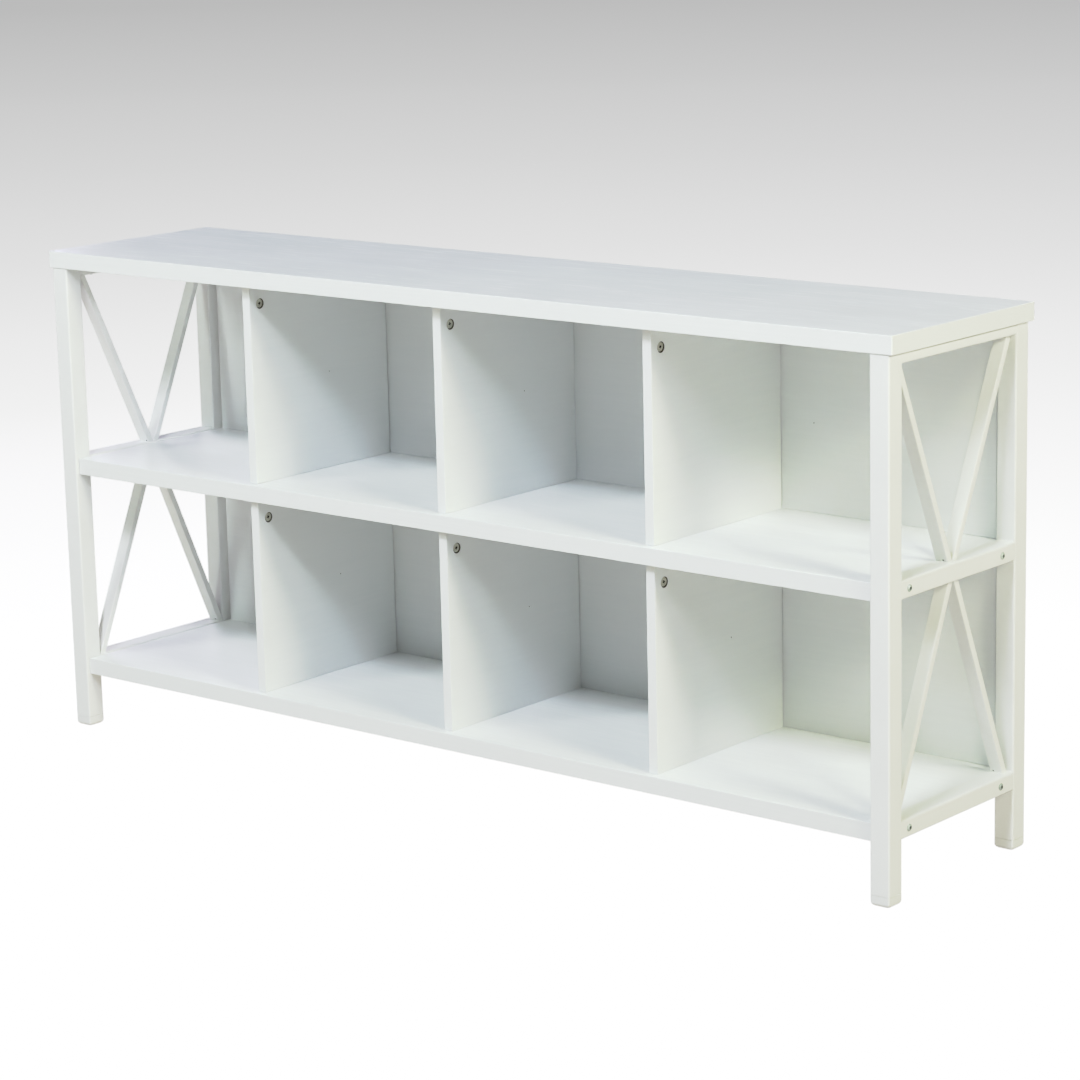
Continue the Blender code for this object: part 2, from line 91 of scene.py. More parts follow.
# ------------------------------------------------------------------ node helpers
class Nodes:
    """Short names for building one material."""

    def __init__(self, name):
        self.mat = bpy.data.materials.new(name)
        self.mat.use_nodes = True
        self.tree = self.mat.node_tree
        self.shader = self.tree.nodes["Principled BSDF"]
        self.coord = self.tree.nodes.new("ShaderNodeTexCoord").outputs["Object"]

    def link(self, a, b):
        self.tree.links.new(a, b)

    def scaled(self, source, scale, shift=(0, 0, 0)):
        m = self.tree.nodes.new("ShaderNodeMapping")
        m.inputs["Scale"].default_value = scale
        m.inputs["Location"].default_value = shift
        self.link(source, m.inputs["Vector"])
        return m.outputs["Vector"]

    def noise(self, vec, scale, detail=4.0, rough=0.55, distortion=0.0, colour=False):
        n = self.tree.nodes.new("ShaderNodeTexNoise")
        n.inputs["Scale"].default_value = scale
        n.inputs["Detail"].default_value = detail
        n.inputs["Roughness"].default_value = rough
        n.inputs["Distortion"].default_value = distortion
        self.link(vec, n.inputs["Vector"])
        return n.outputs["Color" if colour else "Fac"]

    def ramp(self, value, a, b, low=0.0, high=1.0, smooth=True):
        n = self.tree.nodes.new("ShaderNodeMapRange")
        n.interpolation_type = "SMOOTHSTEP" if smooth else "LINEAR"
        for k, v in (("From Min", a), ("From Max", b), ("To Min", low), ("To Max", high)):
            n.inputs[k].default_value = v
        self.link(value, n.inputs["Value"])
        return n.outputs["Result"]

    def math(self, op, a, b=None, clamp=False):
        n = self.tree.nodes.new("ShaderNodeMath")
        n.operation = op
        n.use_clamp = clamp
        for i, v in enumerate((a, b)):
            if v is None:
                continue
            if isinstance(v, (int, float)):
                n.inputs[i].default_value = v
            else:
                self.link(v, n.inputs[i])
        return n.outputs[0]

    def mix(self, fac, a, b, kind="MIX"):
        n = self.tree.nodes.new("ShaderNodeMix")
        n.data_type = "RGBA"
        n.blend_type = kind
        for key, v in ((0, fac), (6, a), (7, b)):
            if isinstance(v, (int, float)):
                n.inputs[key].default_value = v
            elif isinstance(v, tuple):
                n.inputs[key].default_value = (*v, 1.0) if len(v) == 3 else v
            else:
                self.link(v, n.inputs[key])
        return n.outputs[2]

    def bump(self, height, distance, strength=1.0, after=None):
        n = self.tree.nodes.new("ShaderNodeBump")
        n.inputs["Strength"].default_value = strength
        n.inputs["Distance"].default_value = distance
        self.link(height, n.inputs["Height"])
        if after is not None:
            self.link(after, n.inputs["Normal"])
        return n.outputs["Normal"]


def axis_scale(grain, along, across):
    return tuple(along if i == grain else across for i in range(3))


def laminate(name, colour, grain, seed, streak=1.0, rough=0.34, dash=0.0):
    """Printed and embossed white wood-grain laminate.  grain is the axis that the
    grain runs along."""
    n = Nodes(name)
    shift = (seed * 1.37, seed * 2.11, seed * 0.73)
    base = n.scaled(n.coord, (1, 1, 1), shift)
    # the grain wanders slowly sideways, as in a flat-sawn board
    wander = n.noise(n.scaled(base, axis_scale(grain, 2.2, 5.0)), 1.0, 2.0, 0.5, colour=True)
    warp = n.tree.nodes.new("ShaderNodeVectorMath")
    warp.operation = "MULTIPLY_ADD"
    n.link(wander, warp.inputs[0])
    warp.inputs[1].default_value = axis_scale(grain, 0.0, 0.030)
    n.link(base, warp.inputs[2])
    v = warp.outputs[0]
    broad = n.noise(n.scaled(v, axis_scale(grain, 1.2, 22.0)), 1.0, 3.0, 0.55)
    streaks = n.noise(n.scaled(v, axis_scale(grain, 7.0, 170.0)), 1.0, 4.0, 0.62)
    fibre = n.noise(n.scaled(v, axis_scale(grain, 26.0, 900.0)), 1.0, 3.0, 0.6)
    pores = n.noise(n.scaled(v, axis_scale(grain, 55.0, 1400.0)), 1.0, 1.0, 0.5)
    ticks = n.ramp(pores, 0.63, 0.74)
    patches = n.noise(n.scaled(base, axis_scale(grain, 9.0, 30.0)), 1.0, 2.0, 0.5)
    ticks = n.math("MULTIPLY", ticks, n.ramp(patches, 0.38, 0.62))
    tone = n.math("ADD", n.ramp(broad, 0.30, 0.70, -0.020 * streak, 0.020 * streak, False),
                  n.ramp(streaks, 0.28, 0.72, -0.030 * streak, 0.026 * streak, False))
    tone = n.math("ADD", tone, n.ramp(fibre, 0.3, 0.7, -0.010 * streak, 0.010 * streak, False))
    tone = n.math("SUBTRACT", tone, n.math("MULTIPLY", ticks, 0.045 * streak))
    if dash:
        # short light dashes, some 50 mm long and 6 mm wide, as in limed wood
        dashes = n.noise(n.scaled(v, axis_scale(grain, 15.0, 105.0), (2.3, 0.7, 1.9)), 1.0, 2.5, 0.5)
        tone = n.math("ADD", tone, n.ramp(dashes, 0.54, 0.68, -0.2 * dash, 0.8 * dash))
    value = n.math("ADD", tone, 1.0)
    grey = n.tree.nodes.new("ShaderNodeCombineColor")
    for i in range(3):
        n.link(value, grey.inputs[i])
    col = n.mix(1.0, colour, grey.outputs[0], "MULTIPLY")
    # a cooler cast in the darker streaks
    cool = n.ramp(streaks, 0.30, 0.60, 0.35 * streak, 0.0)
    col = n.mix(cool, col, tuple(c * k for c, k in zip(colour, (0.965, 0.985, 1.0))))
    n.link(col, n.shader.inputs["Base Color"])
    smear = n.noise(n.scaled(base, (9, 9, 9)), 1.0, 3.0, 0.6)
    r = n.math("ADD", n.ramp(smear, 0.3, 0.7, rough - 0.035, rough + 0.035, False),
               n.math("MULTIPLY", ticks, 0.18))
    n.link(r, n.shader.inputs["Roughness"])
    relief_height = n.math("SUBTRACT", n.math("MULTIPLY", fibre, 0.35), n.math("MULTIPLY", ticks, 1.0))
    fine = n.bump(relief_height, 0.00006, 1.0)
    sag = n.noise(n.scaled(base, (6, 6, 6)), 1.0, 1.0, 0.4)
    n.link(n.bump(sag, 0.00025, 0.6, fine), n.shader.inputs["Normal"])
    n.shader.inputs["IOR"].default_value = 1.49
    return n.mat


def edge_band(name, colour, grain, seed):
    """Glued plastic edge band: smoother than the faces, with faint drawn lines."""
    n = Nodes(name)
    base = n.scaled(n.coord, (1, 1, 1), (seed * 0.91, seed * 1.7, seed * 0.33))
    lines = n.noise(n.scaled(base, axis_scale(grain, 2.5, 420.0)), 1.0, 3.0, 0.6)
    blots = n.noise(n.scaled(base, (7, 7, 7)), 1.0, 3.0, 0.55)
    value = n.math("ADD", n.ramp(lines, 0.3, 0.7, 0.985, 1.010, False),
                   n.ramp(blots, 0.3, 0.7, -0.010, 0.010, False))
    grey = n.tree.nodes.new("ShaderNodeCombineColor")
    for i in range(3):
        n.link(value, grey.inputs[i])
    n.link(n.mix(1.0, colour, grey.outputs[0], "MULTIPLY"), n.shader.inputs["Base Color"])
    n.link(n.ramp(blots, 0.3, 0.7, 0.30, 0.40, False), n.shader.inputs["Roughness"])
    n.link(n.bump(lines, 0.00004, 0.8), n.shader.inputs["Normal"])
    n.shader.inputs["IOR"].default_value = 1.49
    return n.mat


def powder_coat(name, colour, seed=0.0, rough=0.36, bead=False):
    """Baked powder: satin, with orange peel, slow tone changes and a little dust."""
    n = Nodes(name)
    base = n.scaled(n.coord, (1, 1, 1), (seed * 1.1, seed * 0.7, seed * 1.9))
    peel = n.noise(base, 620.0, 2.0, 0.5)
    ripple = n.noise(base, 150.0, 2.0, 0.5)
    slow = n.noise(base, 9.0, 3.0, 0.55)
    specks = n.ramp(n.noise(base, 900.0, 1.0, 0.5), 0.73, 0.80)
    value = n.math("ADD", n.ramp(slow, 0.3, 0.7, 0.982, 1.012, False),
                   n.ramp(ripple, 0.3, 0.7, -0.006, 0.006, False))
    value = n.math("SUBTRACT", value, n.math("MULTIPLY", specks, 0.05))
    grey = n.tree.nodes.new("ShaderNodeCombineColor")
    for i in range(3):
        n.link(value, grey.inputs[i])
    col = n.mix(1.0, colour, grey.outputs[0], "MULTIPLY")
    # the coat is thinner and creamier on the arrises
    geo = n.tree.nodes.new("ShaderNodeNewGeometry").outputs["Pointiness"]
    worn = n.ramp(geo, 0.53, 0.62, 0.0, 0.35)
    col = n.mix(worn, col, tuple(c * k for c, k in zip(colour, (1.01, 0.995, 0.965))))
    n.link(col, n.shader.inputs["Base Color"])
    n.link(n.ramp(slow, 0.3, 0.7, rough - 0.04, rough + 0.05, False), n.shader.inputs["Roughness"])
    first = n.bump(ripple, 0.00035 if bead else 0.00010, 1.0)
    n.link(n.bump(peel, 0.00006, 0.8, first), n.shader.inputs["Normal"])
    n.shader.inputs["IOR"].default_value = 1.5
    return n.mat


def moulded(name, colour):
    """Matt injection-moulded plastic with a spark-eroded skin."""
    n = Nodes(name)
    skin = n.noise(n.coord, 1400.0, 2.0, 0.6)
    flow = n.noise(n.coord, 40.0, 3.0, 0.6)
    value = n.ramp(flow, 0.3, 0.7, 0.965, 1.015, False)
    grey = n.tree.nodes.new("ShaderNodeCombineColor")
    for i in range(3):
        n.link(value, grey.inputs[i])
    n.link(n.mix(1.0, colour, grey.outputs[0], "MULTIPLY"), n.shader.inputs["Base Color"])
    n.link(n.ramp(flow, 0.3, 0.7, 0.44, 0.55, False), n.shader.inputs["Roughness"])
    n.link(n.bump(skin, 0.00004, 0.8), n.shader.inputs["Normal"])
    return n.mat


def metal(name, colour, rough, stain, grain_scale, depth, metallic=1.0):
    """Bare or plated metal with tarnish, fine pitting and uneven gloss."""
    n = Nodes(name)
    fine = n.noise(n.coord, grain_scale, 3.0, 0.6)
    cloud = n.noise(n.coord, 260.0, 4.0, 0.6)
    col = n.mix(n.ramp(cloud, 0.35, 0.70), colour, stain)
    col = n.mix(n.ramp(fine, 0.55, 0.75, 0.0, 0.4), col, tuple(c * 0.6 for c in stain))
    n.link(col, n.shader.inputs["Base Color"])
    n.shader.inputs["Metallic"].default_value = metallic
    n.link(n.ramp(cloud, 0.3, 0.7, rough - 0.08, rough + 0.12, False), n.shader.inputs["Roughness"])
    n.link(n.bump(fine, depth, 0.9), n.shader.inputs["Normal"])
    return n.mat


def chipboard(name):
    """Raw pressed chips, seen only where a board is drilled, painted much darker than chipboard as the shade in the
    holes.
    """
    n = Nodes(name)
    chips = n.noise(n.coord, 750.0, 3.0, 0.7, 0.6)
    dust = n.noise(n.coord, 2600.0, 2.0, 0.5)
    col = n.mix(n.ramp(chips, 0.35, 0.65), (0.048, 0.036, 0.024), (0.115, 0.088, 0.060))
    col = n.mix(n.ramp(dust, 0.5, 0.8, 0.0, 0.4), col, (0.03, 0.022, 0.016))
    n.link(col, n.shader.inputs["Base Color"])
    n.link(n.ramp(chips, 0.3, 0.7, 0.8, 0.95, False), n.shader.inputs["Roughness"])
    n.link(n.bump(chips, 0.0003, 1.0), n.shader.inputs["Normal"])
    return n.mat


# bores and pin holes: chipboard brown, darkened as painted shade
CORE_AND_SHADE = chipboard("board_core_painted_shade")
LAMINATE_COLOUR = (0.840, 0.856, 0.853)
BAND_COLOUR = (0.845, 0.860, 0.856)
COAT_COLOUR = (0.840, 0.848, 0.836)
COAT = powder_coat("powder_coat", COAT_COLOUR)
COAT_BEAD = powder_coat("powder_coat_weld", COAT_COLOUR, 3.0, 0.34, True)
# inside the tubes and drain holes: bare steel, but much darker than steel, as painted shade
SHADED_BARE_STEEL = metal("bare_steel_painted_shade", (0.110, 0.105, 0.095), 0.55, (0.060, 0.055, 0.048), 900.0, 0.00004)
CAP = moulded("cap_plastic", (0.828, 0.836, 0.822))
ZINC = metal("zinc_plate", (0.54, 0.585, 0.565), 0.60, (0.43, 0.47, 0.46), 2600.0, 0.00003, 0.35)
# screw sockets: zinc darkened as painted shade in the recess
ZINC_SOCKET_SHADE = metal("zinc_socket_painted_shade", (0.20, 0.22, 0.21), 0.65, (0.12, 0.135, 0.125), 1800.0, 0.00003, 0.4)
CAST = metal("cast_zinc", (0.60, 0.59, 0.515), 0.50, (0.47, 0.46, 0.39), 1500.0, 0.00006, 0.5)
# cam recesses and the shank in the bore: zinc painted near-black as shade
CAST_RECESS_SHADE = metal("cast_zinc_recess_painted_shade", (0.050, 0.045, 0.037), 0.6, (0.028, 0.025, 0.020), 1200.0, 0.00006, 0.6)


# ------------------------------------------------------------------ mesh helpers
def signed_volume(bm):
    total = 0.0
    for f in bm.faces:
        vs = [v.co for v in f.verts]
        for i in range(1, len(vs) - 1):
            total += vs[0].dot(vs[i].cross(vs[i + 1])) / 6.0
    return total


def finish_piece(bm, name, mats, stands_for=(), smooth_deg=40.0, outward=True):
    """Mesh object with sharp edges marked and large faces kept flat in shading."""
    if outward and signed_volume(bm) < 0:
        bmesh.ops.reverse_faces(bm, faces=bm.faces[:])
    bm.normal_update()
    limit = math.radians(smooth_deg)
    for f in bm.faces:
        f.smooth = True
    for e in bm.edges:
        if len(e.link_faces) == 2:
            a, b = e.link_faces
            e.smooth = e.calc_face_angle(0.0) < limit and a.material_index == b.material_index
    me = bpy.data.meshes.new(name)
    bm.to_mesh(me)
    bm.free()
    ob = bpy.data.objects.new(name, me)
    bpy.context.scene.collection.objects.link(ob)
    for m in mats:
        me.materials.append(m)
    w = ob.modifiers.new("even_shading", "WEIGHTED_NORMAL")
    w.keep_sharp = True
    w.weight = 60
    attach(ob, "root")
    if stands_for:
        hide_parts(*stands_for)
    return ob


def rounded_rect(w, h, r, seg=5):
    pts = []
    for cx, cy, a0 in ((w / 2 - r, h / 2 - r, 0), (-w / 2 + r, h / 2 - r, 90),
                       (-w / 2 + r, -h / 2 + r, 180), (w / 2 - r, -h / 2 + r, 270)):
        for i in range(seg + 1):
            a = math.radians(a0 + 90.0 * i / seg)
            pts.append((cx + r * math.cos(a), cy + r * math.sin(a)))
    return pts


def circle(r, n=48, turn=0.0):
    return [(r * math.cos(2 * math.pi * (i + turn) / n), r * math.sin(2 * math.pi * (i + turn) / n))
            for i in range(n)]


def ring_faces(bm, a, b, index=0):
    made = []
    n = len(a)
    for i in range(n):
        j = (i + 1) % n
        f = bm.faces.new((a[i], a[j], b[j], b[i]))
        f.material_index = index
        made.append(f)
    return made


def loft(loops, cap_first=True, cap_last=True, indices=None):
    """Skin over a list of closed loops; indices gives the material of each band."""
    bm = bmesh.new()
    rings = [[bm.verts.new(p) for p in loop] for loop in loops]
    for k, (a, b) in enumerate(zip(rings[:-1], rings[1:])):
        ring_faces(bm, a, b, indices[k] if indices else 0)
    if cap_first:
        f = bm.faces.new(rings[0][::-1])
        f.material_index = indices[0] if indices else 0
    if cap_last:
        f = bm.faces.new(rings[-1])
        f.material_index = indices[-1] if indices else 0
    return bm


def cut(ob, cutters):
    """Take closed cutter shapes out of a piece, for good."""
    for c in cutters:
        if signed_volume(c) < 0:
            bmesh.ops.reverse_faces(c, faces=c.faces[:])
        me = bpy.data.meshes.new("bit")
        c.to_mesh(me)
        c.free()
        tool = bpy.data.objects.new("bit", me)
        bpy.context.scene.collection.objects.link(tool)
        keep = [m.name for m in ob.modifiers]
        mod = ob.modifiers.new("hole", "BOOLEAN")
        mod.operation, mod.solver, mod.object = "DIFFERENCE", "EXACT", tool
        for k in keep:
            ob.modifiers[k].show_viewport = False
        deps = bpy.context.evaluated_depsgraph_get()
        deps.update()
        new = bpy.data.meshes.new_from_object(ob.evaluated_get(deps))
        ob.modifiers.remove(mod)
        for k in keep:
            ob.modifiers[k].show_viewport = True
        old, mats = ob.data, list(ob.data.materials)
        ob.data = new
        new.name = old.name + "_cut"
        bpy.data.meshes.remove(old)
        bpy.data.objects.remove(tool, do_unlink=True)
        bpy.data.meshes.remove(me)
        bm = bmesh.new()
        bm.from_mesh(new)
        bmesh.ops.remove_doubles(bm, verts=bm.verts[:], dist=1e-6)
        bm.normal_update()
        for f in bm.faces:
            f.smooth = True
        for e in bm.edges:
            if len(e.link_faces) == 2:
                a, b = e.link_faces
                e.smooth = (e.calc_face_angle(0.0) < math.radians(40)
                            and a.material_index == b.material_index)
        bm.to_mesh(new)
        bm.free()
        numbers = [p.material_index for p in new.polygons]
        new.materials.clear()
        for m in mats:
            new.materials.append(m)
        new.polygons.foreach_set("material_index", numbers)
        new.update()


# ------------------------------------------------------------------ boards
BAND = 0.0010            # thickness of the edge band
ROUND = 0.0008           # eased arris


def slab(name, low, high, thick, grain, seed, stands_for, plan_r=0.0012, streak=0.4, rough=0.34,
         dash=0.0):
    """Laminate board with eased edges and the hairline joint of its edge band."""
    p, q = ((1, 2), (2, 0), (0, 1))[thick]
    w, h = high[p] - low[p], high[q] - low[q]
    cp, cq = (high[p] + low[p]) / 2, (high[q] + low[q]) / 2
    t0, t1 = low[thick], high[thick]
    g, deep = 0.00014, 0.00016
    half = [(BAND + g, 0.0), (BAND, deep), (BAND - g, 0.0)]
    half += [(ROUND * (1 - math.sin(math.radians(a))), ROUND * (1 - math.cos(math.radians(a))))
             for a in (0, 22.5, 45, 67.5, 90)]
    profile = [(i, t0 + d) for i, d in half] + [(i, t1 - d) for i, d in reversed(half)]
    loops = []
    for inset, t in profile:
        loop = []
        for u, v in rounded_rect(w - 2 * inset, h - 2 * inset, max(plan_r - inset, 0.0003), 4):
            co = [0.0, 0.0, 0.0]
            co[thick], co[p], co[q] = t, cp + u, cq + v
            loop.append(tuple(co))
        loops.append(loop)
    n = len(loops) - 1
    index = [0] + [1] * (n - 2) + [0]
    bm = loft(loops, indices=index)
    mats = [laminate(name + "_laminate", LAMINATE_COLOUR, grain, seed, streak, rough, dash),
            edge_band(name + "_edge", BAND_COLOUR, grain, seed), CORE_AND_SHADE]
    return finish_piece(bm, name, mats, stands_for)


def node_slab(node, thick, grain, seed, grow=(0, 0, 0), rear_trim=0.0, **more):
    low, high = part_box(node)
    low = [low[i] - grow[i] for i in range(3)]
    high = [high[i] + grow[i] for i in range(3)]
    high[1] -= rear_trim
    return slab(node + "_look", low, high, thick, grain, seed, [node], **more)


node_slab("top_panel", 2, 0, 1.0, plan_r=0.0022, streak=1.6, dash=0.09)
node_slab("middle_shelf", 2, 0, 2.0, streak=0.7, dash=0.018)
node_slab("bottom_shelf", 2, 0, 3.0, streak=0.7, dash=0.018)
# the back panels and dividers close up to the boards above and below them
node_slab("upper_back_panel", 1, 0, 4.0, grow=(0, 0, 0.0002), streak=0.3)
node_slab("lower_back_panel", 1, 0, 5.0, grow=(0, 0, 0.0002), streak=0.3)

def pin_hole(place):
    """Narrow blind hole, 1.6 mm wide, as a drawing pin or a jig leaves it. Its wall takes the board core, painted dark
    as the hole's shade.
    """
    return loft([[place(u, v, t) for u, v in circle(0.0008, 16)] for t in (0.001, -0.0035)], indices=[2])


# y and z of the pin holes on the dividers' right faces
PIN_HOLES = {"upper_divider_left": (0.0138, 0.5841), "upper_divider_centre": (0.0291, 0.5873),
             "lower_divider_left": (0.0226, 0.2638), "lower_divider_centre": (0.0281, 0.2625),
             "lower_divider_right": (0.0218, 0.2713)}
cut(bpy.data.objects["upper_back_panel_look"],
    [pin_hole(lambda u, v, t: (0.4417 + u, 0.1464 - t, 0.5653 + v))])

for level, seed in (("upper", 6.0), ("lower", 9.0)):
    for k, (where, x) in enumerate(DIVIDER_X.items()):
        node = "%s_divider_%s" % (level, where)
        # a shadow line stays open between it and the back panel
        ob = node_slab(node, 0, 1, seed + k, grow=(0, 0, 0.0002), rear_trim=0.0006, streak=0.3)
        low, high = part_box(node)
        face = high.x
        cam_z = high.z + GAP - CAM_DOWN
        bore = [[(face + 0.002 - t, CAM_Y + u, cam_z + v) for u, v in circle(CAM_R + GAP, 48, 0.5)]
                for t in (0.0, CAM_LEN + 0.0029)]
        # the bore's wall takes the board core, darkened as painted shade
        cut(ob, [loft(bore, indices=[2])])
        if node in PIN_HOLES:
            py, pz = PIN_HOLES[node]
            cut(ob, [pin_hole(lambda u, v, t: (face + t, py + u, pz + v))])


# ------------------------------------------------------------------ end frames
def tube(name, loops_out, loops_in, stands_for, mats=None):
    """Open tube through any number of matching sections, with bare steel inside that is painted near-black as the shade
    in the tube.
    """
    bm = bmesh.new()
    outs = [[bm.verts.new(p) for p in loop] for loop in loops_out]
    ins = [[bm.verts.new(p) for p in loop] for loop in loops_in]
    for a, b in zip(outs[:-1], outs[1:]):
        ring_faces(bm, a, b)
    for a, b in zip(ins[:-1], ins[1:]):
        ring_faces(bm, b, a, 1)
    ring_faces(bm, ins[0], outs[0])
    ring_faces(bm, outs[-1], ins[-1])
    return finish_piece(bm, name, mats or [COAT, SHADED_BARE_STEEL], stands_for, 50.0)


def leg(node, x, y):
    out, hole = rounded_rect(LEG, LEG, LEG_R, 6), rounded_rect(LEG - 0.003, LEG - 0.003, 0.0013, 6)
    # the saw cut at both ends is a little rounded over by the coat
    outs, ins = [], []
    z0, z1 = FOOT_H + 0.0002, TOP_UNDER - GAP
    for inset, z in ((0.0002, z0), (0.00005, z0 + 0.0002), (0.0, z0 + 0.0005),
                     (0.0, z1 - 0.0011), (0.00015, z1 - 0.0004), (0.0006, z1)):
        k = (LEG - 2 * inset) / LEG
        outs.append([(x + u * k, y + v * k, z) for u, v in out])
        ins.append([(x + u, y + v, z) for u, v in hole])
    tube(node + "_look", outs, ins, [node])


def rail(node, s, top, height):
    """The weld is ground flush at the front leg and filled to a shallow groove at the rear
    leg's rounding, so the tube runs on into both and draws in a little at the rear."""
    z = top - height / 2
    hole = rounded_rect(LEG - 0.003, height - 0.003, 0.0013, 6)
    x = s * RAIL_MID_X
    outs, ins = [], []
    for t, inset in ((FRONT_LEG_BACK - LEG_R, 0.0), (REAR_LEG_FRONT - 0.0015, 0.0),
                     (REAR_LEG_FRONT - 0.0003, 0.00005), (REAR_LEG_FRONT + 0.0004, 0.00020),
                     (REAR_LEG_FRONT + 0.0009, 0.00038), (REAR_LEG_FRONT + 0.0013, 0.00055)):
        out = rounded_rect(LEG - 2 * inset, height - 2 * inset, LEG_R - inset / 2, 6)
        outs.append([(x + u, t, z + v) for u, v in out])
        ins.append([(x + u, t, z + v) for u, v in hole])
    ob = tube(node + "_look", outs, ins, [node])
    if height > 0.02:
        holes = []
        for y in SCREW_Y.values():
            holes.append(loft([[(s * (INNER_X - 0.003 + t), y + u, z + v) for u, v in circle(0.0033, 32)]
                               for t in (0.0, LEG + 0.006)]))
        cut(ob, holes)
    return ob


def fillet(name, p0, p1, into_a, into_b, size, seed):
    """Weld bead in the corner along p0-p1: concave, a little uneven, thinning out at its
    ends.  into_a and into_b point away from the corner along the two surfaces."""
    p0, p1, a, b = Vector(p0), Vector(p1), Vector(into_a), Vector(into_b)
    run = p1 - p0
    steps, arc = max(6, int(run.length / 0.0016)), 6
    loops = []
    for i in range(steps + 1):
        t = i / steps
        r = size * (1.0 + 0.22 * noise.noise(Vector((seed, t * run.length * 260.0, 0.3))))
        end = min(t, 1 - t) * run.length
        r *= min(1.0, 0.35 + end / 0.0020)
        here = p0 + run * t
        loop = [here - (a + b) * 0.0004]
        for k in range(arc + 1):
            w = math.radians(90.0 * k / arc)
            loop.append(here + a * r * (1 - math.sin(w)) + b * r * (1 - math.cos(w)))
        loops.append([tuple(v) for v in loop])
    bm = loft(loops)
    return finish_piece(bm, name, [COAT_BEAD], (), 60.0)


def brace_geometry(s, way, centre_off, centre_z, corner_off, corner_z):
    span = Vector((corner_off - centre_off, corner_z - centre_z))
    run = span.normalized()
    out = Vector((abs(run.y), -run.x * (1 if run.y > 0 else -1)))
    leg_off = (REAR_LEG_FRONT - FRONT_LEG_BACK) / 2
    corner_v = (Vector((leg_off, corner_z)) - Vector((centre_off, centre_z))).dot(out)
    return run, out, leg_off, corner_v


def brace(node, s, way, centre_off, centre_z, corner_off, corner_z, vent, inward):
    run, out, leg_off, corner_v = brace_geometry(s, way, centre_off, centre_z, corner_off, corner_z)

    # where the end turns from the rail to the leg, both walls get a point, if both are flat there
    flat = max(BRACE_R, BRACE_WALL + 0.0005)
    turns = flat < corner_v < BRACE_T - flat

    def profile(w, t, r):
        pts = [(u, v + BRACE_T / 2) for u, v in rounded_rect(w, t, r, 5)]
        if not turns:
            return pts
        full = []
        for i, p in enumerate(pts):
            q = pts[(i + 1) % len(pts)]
            full.append(p)
            if abs(p[0] - q[0]) < 1e-9 and abs(abs(p[0]) - w / 2) < 1e-9:
                full.append((p[0], corner_v))
        return full

    def ends(u, v):
        base = Vector((centre_off, centre_z)) + out * v
        t0 = (centre_z - base.y) / run.y
        t1 = (corner_z - base.y) / run.y
        if v > corner_v - 1e-9:
            t1 = min(t1, (leg_off - base.x) / run.x)
        a, b = base + run * (t0 - 0.0002), base + run * (t1 + 0.0002)
        x = s * (INNER_X + BRACE_IN + BRACE_W / 2) + u
        return ((x, FRAME_MID_Y + way * a.x, a.y), (x, FRAME_MID_Y + way * b.x, b.y))

    shell = [ends(u, v) for u, v in profile(BRACE_W, BRACE_T, BRACE_R)]
    core = [ends(u, v) for u, v in profile(BRACE_W - 2 * BRACE_WALL, BRACE_T - 2 * BRACE_WALL, 0.0005)]
    ob = tube(node + "_look", [[p[0] for p in shell], [p[1] for p in shell]],
              [[p[0] for p in core], [p[1] for p in core]], [node])
    off, z, outer = vent
    face = out * (1 if outer else -1)
    normal = Vector((0.0, way * face.x, face.y))
    side = Vector((1.0, 0.0, 0.0))
    other = normal.cross(side)
    origin = Vector((s * (INNER_X + BRACE_IN + inward), FRAME_MID_Y + way * off, z))
    # the drain hole's wall takes the near-black steel, painted shade that makes the hole read black
    cut(ob, [loft([[tuple(origin + side * u + other * w + normal * t) for u, w in circle(VENT_R, 20)]
                   for t in (-0.005, 0.003)], indices=[1])])
    return ob


def edge_point(centre_off, centre_z, corner_off, corner_z, z, outside):
    off = centre_off + (corner_off - centre_off) * (z - centre_z) / (corner_z - centre_z)
    if outside:
        length = math.hypot(corner_off - centre_off, corner_z - centre_z)
        off += BRACE_T * length / abs(corner_z - centre_z)
    return off, z, outside


TOP_RAIL_LOW = TOP_UNDER - GAP - TOP_RAIL_H
# Inner face of each brace: its offset from the middle of the frame at the middle rail
# and at the far rail.  The frames are welded by hand, so the pairs meet off centre.
UP = {"front_left": (-0.0018, 0.1264), "rear_left": (0.0022, 0.1258),
      "front_right": (0.0041, 0.1269), "rear_right": (-0.0037, 0.1275)}
DOWN = {"front_left": (-0.0013, 0.1243), "rear_left": (0.0026, 0.1287),
        "front_right": (0.0021, 0.1292), "rear_right": (-0.0017, 0.1236)}


def brace_line(kind, end, side):
    near, far = (UP if kind == "upper" else DOWN)["%s_%s" % (end, side)]
    if kind == "upper":
        return near, MID_RAIL_TOP, far, TOP_RAIL_LOW
    return near, MID_RAIL_TOP - RAIL_H, far, LOW_RAIL_TOP


def foot(node, x, y):
    """Moulded cap: soft bottom edge, thin witness line where it meets the tube."""
    loops = []
    steps = [(0.0050, 0.0), (0.0034, 0.00030), (0.0021, 0.0011), (0.0011, 0.0022), (0.0004, 0.0036),
             (0.0, 0.0054), (0.0, FOOT_H - 0.0004), (0.0001, FOOT_H - 0.0002), (0.0004, FOOT_H - 0.0001),
             (0.0022, FOOT_H - 0.0001)]
    for inset, z in steps:
        loops.append([(x + u, y + v, z)
                      for u, v in rounded_rect(LEG - 2 * inset, LEG - 2 * inset,
                                               LEG_R + 0.35 * inset, 6)])
    plug = LEG - 0.0045
    loops.append([(x + u, y + v, FOOT_H) for u, v in rounded_rect(plug, plug, 0.0013, 6)])
    loops.append([(x + u, y + v, FOOT_H + 0.017) for u, v in rounded_rect(plug - 0.001, plug - 0.001, 0.0013, 6)])
    finish_piece(loft(loops), node + "_look", [CAP], [node], 50.0)


